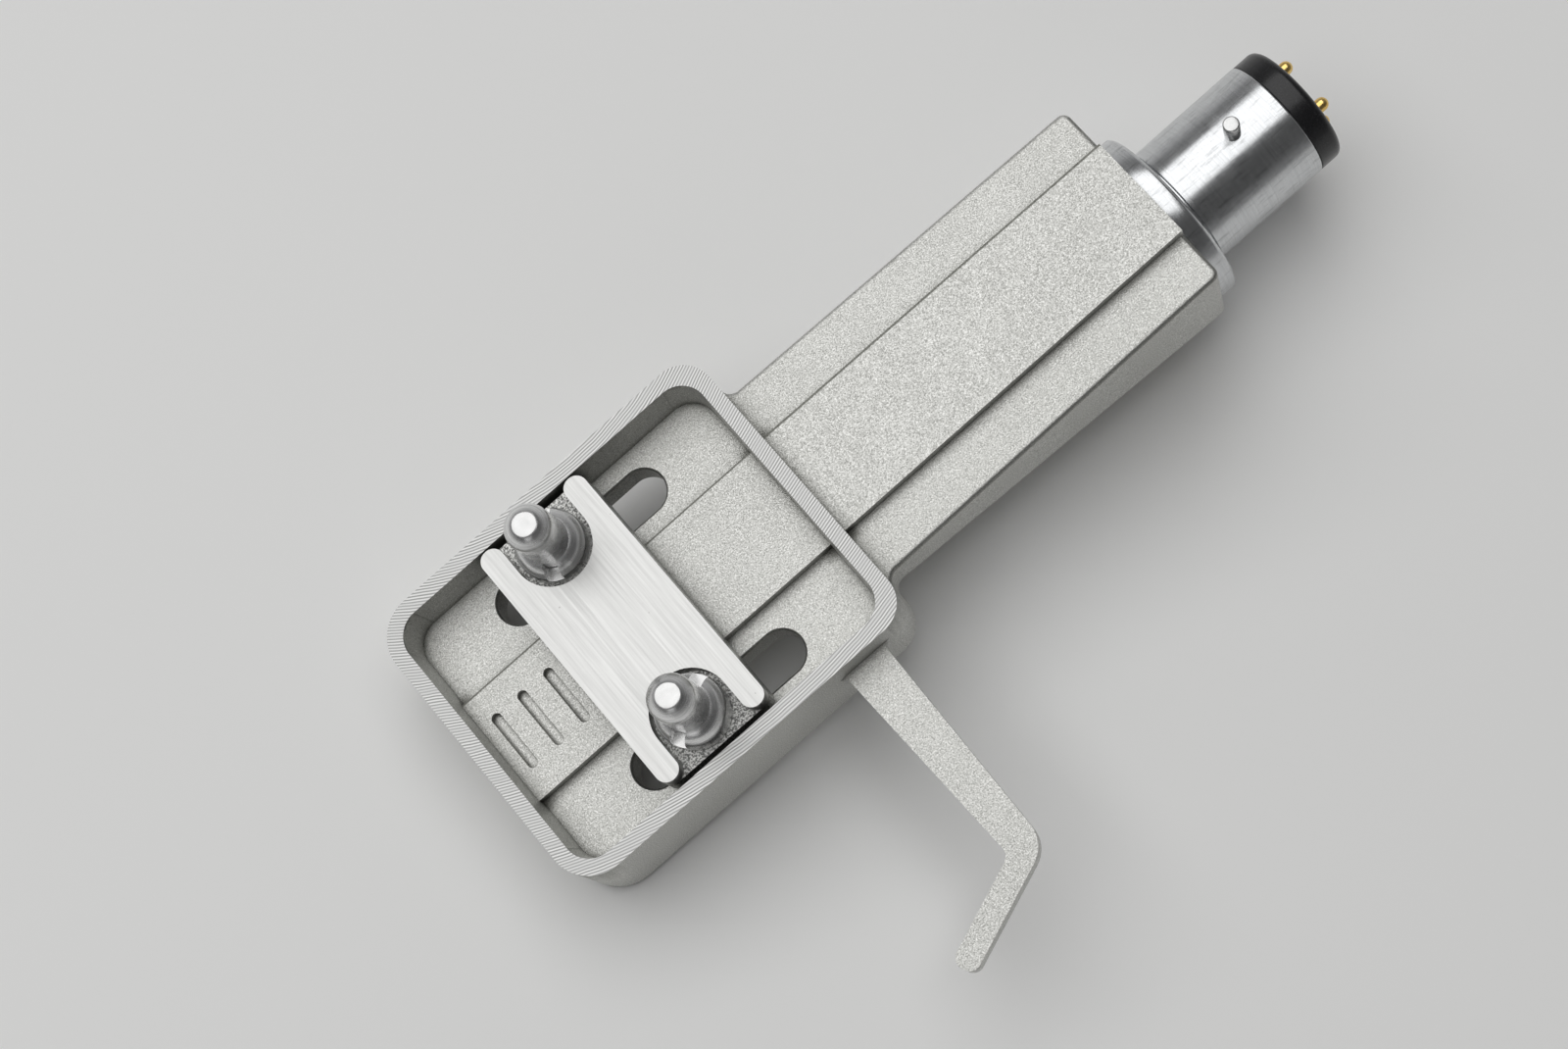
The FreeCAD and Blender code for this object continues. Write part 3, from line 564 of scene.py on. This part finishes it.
for order, (side, level) in enumerate(((1, 1), (-1, 1), (-1, -1), (1, -1)), start=1):
    y, z = side * CONTACT_OFFSET, level * CONTACT_OFFSET
    bm = turned(contact_outline, steps=32)
    lay_along_x(bm, 0.0, y, z)
    contact = finish_piece(f"contact_{order}", bm, "base")
    paint(contact, gold)
    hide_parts(f"contact_pin_{order}")
    bm = turned(collar_outline, steps=32)
    lay_along_x(bm, 0.0, y, z)
    collar = finish_piece(f"contact_collar_{order}", bm, "base")
    paint(collar, black)

# %% [markdown]
# ## Nuts and screws of the clamp
#
# Each screw comes up from below, through the slot and the plate, and shows above as a smooth nose with a bevelled
# point. A round nut with a domed shoulder holds it, and a slot across the nut takes a forked driver. The nut is
# a spun ring that a block then cuts: the block is a scaled cube, and the cut is a Boolean modifier whose result
# is kept as a plain mesh, so nothing else has to stay in the scene.

# %% Cut a driver slot
def cut_with_block(piece, centre, size, turn):
    """Cuts a block of a size in mm out of the piece, about a centre in mm, turned about Z in degrees."""
    bm = bmesh.new()
    bmesh.ops.create_cube(bm, size=1.0)
    bmesh.ops.scale(bm, verts=bm.verts, vec=Vector(size) * MM)
    place = Matrix.Translation(Vector(centre) * MM) @ Matrix.Rotation(math.radians(turn), 4, "Z")
    bmesh.ops.transform(bm, matrix=place, verts=bm.verts)
    mesh = bpy.data.meshes.new("driver_slot")
    bm.to_mesh(mesh)
    bm.free()
    block = bpy.data.objects.new("driver_slot", mesh)
    bpy.context.scene.collection.objects.link(block)
    cut = piece.modifiers.new("driver_slot", "BOOLEAN")
    cut.operation = "DIFFERENCE"
    cut.solver = "EXACT"
    cut.object = block
    bpy.context.view_layer.update()
    result = bpy.data.meshes.new_from_object(piece.evaluated_get(bpy.context.evaluated_depsgraph_get()))
    piece.modifiers.clear()
    piece.data = result
    bpy.data.objects.remove(block)
    bpy.data.meshes.remove(mesh)
    result.set_sharp_from_angle(angle=math.radians(30))
    print(f"{piece.name:18s} {len(result.polygons):6d} faces after the cut")


# %% Make both nuts and both screws
CLAMP = {"x": 40.1, "spacing": 12.7, "seat": 9.7, "underside": 5.0}
NUT = {"radius": 2.1, "bore": 1.33, "height": 2.6, "shoulder": 1.25, "slot_width": 0.9, "slot_depth": 1.5}
SCREW = {"radius": 1.3, "nose": 1.38, "tip": 16.6, "head": 2.0, "head_height": 1.3}
SCREW_SLOT = {"width": 0.7, "depth": 0.6}
SLOT_REACH = 6.0
SLOT_OVERRUN = 0.5

shoulder_centre = NUT["radius"] - NUT["shoulder"], NUT["height"] - NUT["shoulder"]
shoulder_end = math.degrees(math.acos((NUT["bore"] + 0.03 - shoulder_centre[0]) / NUT["shoulder"]))
shoulder = arc(*shoulder_centre, NUT["shoulder"], 0, shoulder_end, steps=12)
nut_outline = [
    (NUT["bore"], 0.0),
    (NUT["radius"] - 0.12, 0.0),
    (NUT["radius"], 0.12),
    *shoulder,
    (NUT["bore"], shoulder[-1][1] - 0.04),
    (NUT["bore"], 0.0),
]
length = SCREW["tip"] - CLAMP["underside"]
nose_foot = CLAMP["seat"] + shoulder[-1][1] - CLAMP["underside"] + 0.02
screw_outline = [
    (0.0, -SCREW["head_height"]),
    (SCREW["head"] - 0.25, -SCREW["head_height"]),
    (SCREW["head"] - 0.07, -SCREW["head_height"] + 0.07),
    (SCREW["head"], -SCREW["head_height"] + 0.25),
    (SCREW["head"], -0.08),
    (SCREW["head"] - 0.08, 0.0),
    (SCREW["radius"], 0.0),
    (SCREW["radius"], nose_foot),
    (SCREW["nose"], nose_foot + 0.05),
    (SCREW["nose"], length - 0.86),
    (SCREW["nose"] - 0.03, length - 0.72),
    (SCREW["nose"] - 0.10, length - 0.58),
    (SCREW["nose"] - 0.40, length - 0.22),
    (SCREW["nose"] - 0.54, length - 0.10),
    (SCREW["nose"] - 0.64, length - 0.03),
    (SCREW["nose"] - 0.74, length),
    (0.30, length - 0.02),
    (0.0, length - 0.08),
]
for order, (side, turn) in enumerate(((-1, 60.0), (1, 32.0)), start=1):
    y = side * CLAMP["spacing"] / 2
    bm = turned(nut_outline, steps=96)
    bmesh.ops.translate(bm, verts=bm.verts, vec=Vector((CLAMP["x"], y, CLAMP["seat"])) * MM)
    nut = finish_piece(f"nut_{order}", bm, "clamp", smooth_angle=30)
    slot_level = CLAMP["seat"] + NUT["height"] - NUT["slot_depth"] / 2 + SLOT_OVERRUN / 2
    slot_size = (SLOT_REACH, NUT["slot_width"], NUT["slot_depth"] + SLOT_OVERRUN)
    cut_with_block(nut, (CLAMP["x"], y, slot_level), slot_size, turn)
    paint(nut, nut_metal)
    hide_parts(f"clamp_nut_{order}")

    bm = turned(screw_outline, steps=80)
    bmesh.ops.translate(bm, verts=bm.verts, vec=Vector((CLAMP["x"], y, CLAMP["underside"])) * MM)
    screw = finish_piece(f"screw_{order}", bm, "clamp", smooth_angle=30)
    slot_level = CLAMP["underside"] - SCREW["head_height"] + SCREW_SLOT["depth"] / 2 - SLOT_OVERRUN / 2
    slot_size = (SLOT_REACH, SCREW_SLOT["width"], SCREW_SLOT["depth"] + SLOT_OVERRUN)
    cut_with_block(screw, (CLAMP["x"], y, slot_level), slot_size, 0.0)
    paint(screw, screw_metal)
    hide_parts(f"clamp_screw_{order}")

# %% [markdown]
# ## Floor
#
# The headshell lies as it would on a table: on the flange of its plug and on the front edge of its head, so it
# leans by about ten degrees. The frame stays level with the plug, so here it is the floor that leans. It is a
# plain pale sheet. Seen from below it lets the camera through, so that the underside can be looked at too.

# %% A leaning floor
FRONT_EDGE = {"x": 51.02, "z": 2.9}
FLANGE_BEVEL = 0.2
FLOOR_GAP = 0.02

rear_contact = Vector((PLUG["thickness"] - FLANGE_BEVEL, 0, -PLUG["flange"])) * MM
front_contact = Vector((FRONT_EDGE["x"], 0, FRONT_EDGE["z"])) * MM
lean = math.atan2(front_contact.z - rear_contact.z, front_contact.x - rear_contact.x)
print("the floor leans by", round(math.degrees(lean), 2), "degrees")

bm = bmesh.new()
bmesh.ops.create_grid(bm, x_segments=2, y_segments=2, size=3.0)
drop = Vector((math.sin(lean), 0, -math.cos(lean))) * FLOOR_GAP * MM
lay = Matrix.Translation(rear_contact + drop) @ Matrix.Rotation(-lean, 4, "Y")
bmesh.ops.transform(bm, matrix=lay, verts=bm.verts)
mesh = bpy.data.meshes.new("floor")
bm.to_mesh(mesh)
bm.free()
floor = bpy.data.objects.new("floor", mesh)
bpy.context.scene.collection.objects.link(floor)

sheet = Finish("pale_floor", (0.90, 0.90, 0.89), roughness=0.9)
output = sheet.tree.nodes["Material Output"]
clear = sheet.node("BsdfTransparent").outputs["BSDF"]
from_below = sheet.node("NewGeometry").outputs["Backfacing"]
seen = sheet.node("LightPath").outputs["Is Camera Ray"]
see_through = sheet.math("MULTIPLY", from_below, seen)
surface = sheet.node("MixShader", {0: see_through, 1: sheet.shader.outputs["BSDF"], 2: clear})
sheet.tree.links.new(surface.outputs["Shader"], output.inputs["Surface"])
floor.data.materials.append(sheet.material)

# %% [markdown]
# ## Camera
#
# The camera stands where the photographer's stood. Its place was worked out from straight lines and known sizes:
# the 8 mm plug, the 12.7 mm between the slots, and the edges of head and neck, which all run along one of two
# directions. It looks almost straight down, from a little behind the head on the side of the finger lift.

# %% The photograph's camera
camera_data = bpy.data.cameras.new("camera")
camera = bpy.data.objects.new("camera", camera_data)
bpy.context.scene.collection.objects.link(camera)
camera.location = Vector((27.077, 48.881, 171.381)) * MM
camera.rotation_mode = "QUATERNION"
camera.rotation_quaternion = Quaternion((0.348859, -0.056684, 0.130482, 0.926314))
camera_data.sensor_fit = "HORIZONTAL"
camera_data.sensor_width = 36.0
camera_data.lens = 68.75
camera_data.clip_start = 0.005
camera_data.clip_end = 20.0
bpy.context.scene.camera = camera
print("camera", [round(value, 4) for value in camera.location])

# %% [markdown]
# ## Light
#
# Bright metal shows what is around it, so it is lit by one large soft box. It hangs almost straight above, where
# the level faces mirror it to the camera, and that keeps a band of light along the top of the round plug. A weak
# box fills from the front. The world is pale at the horizon and darker above, and it is darker on the side of the
# finger lift, so edges that look sideways are bright lines on one side, and domed pieces keep some contrast.

# %% Soft boxes
def soft_box(name, place, target, size, watts):
    """A rectangular lamp at a place in mm that faces a target in mm."""
    data = bpy.data.lights.new(name, "AREA")
    data.shape = "RECTANGLE"
    data.size, data.size_y = (side * MM for side in size)
    data.energy = watts
    lamp = bpy.data.objects.new(name, data)
    bpy.context.scene.collection.objects.link(lamp)
    lamp.location = Vector(place) * MM
    lamp.rotation_mode = "QUATERNION"
    lamp.rotation_quaternion = (Vector(target) - Vector(place)).to_track_quat("-Z", "Y")
    print(name, watts, "W")


MIDDLE = (22, 0, 5)
soft_box("main_box", (0, -125, 430), MIDDLE, (620, 560), 1.60)
soft_box("fill_box", (260, 300, 260), MIDDLE, (220, 220), 0.08)

# %% A plain world that fades with height and to one side
world = bpy.data.worlds.new("studio")
bpy.context.scene.world = world
world.use_nodes = True
tree = world.node_tree
direction = tree.nodes.new("ShaderNodeTexCoord")
split = tree.nodes.new("ShaderNodeSeparateXYZ")
tree.links.new(direction.outputs["Generated"], split.inputs["Vector"])


def fade(axis, low, high, at_low, at_high, curve):
    """A strength that changes along an axis of the direction, from one level to another."""
    node = tree.nodes.new("ShaderNodeMapRange")
    node.interpolation_type = curve
    for socket, value in (("From Min", low), ("From Max", high), ("To Min", at_low), ("To Max", at_high)):
        node.inputs[socket].default_value = value
    tree.links.new(split.outputs[axis], node.inputs["Value"])
    return node.outputs["Result"]


strength = tree.nodes.new("ShaderNodeMath")
strength.operation = "MULTIPLY"
tree.links.new(fade("Z", 0.0, 0.4, 0.40, 0.16, "SMOOTHSTEP"), strength.inputs[0])
tree.links.new(fade("Y", -0.6, 0.6, 1.3, 0.55, "LINEAR"), strength.inputs[1])
background = tree.nodes["Background"]
tree.links.new(strength.outputs["Value"], background.inputs["Strength"])
background.inputs["Color"].default_value = (1.0, 1.0, 1.0, 1.0)
print("world linked:", background.inputs["Strength"].is_linked)

# %% [markdown]
# ## Colour
#
# The Standard view transform shows colours as they are written.

# %% Finish
bpy.context.scene.view_settings.view_transform = "Standard"
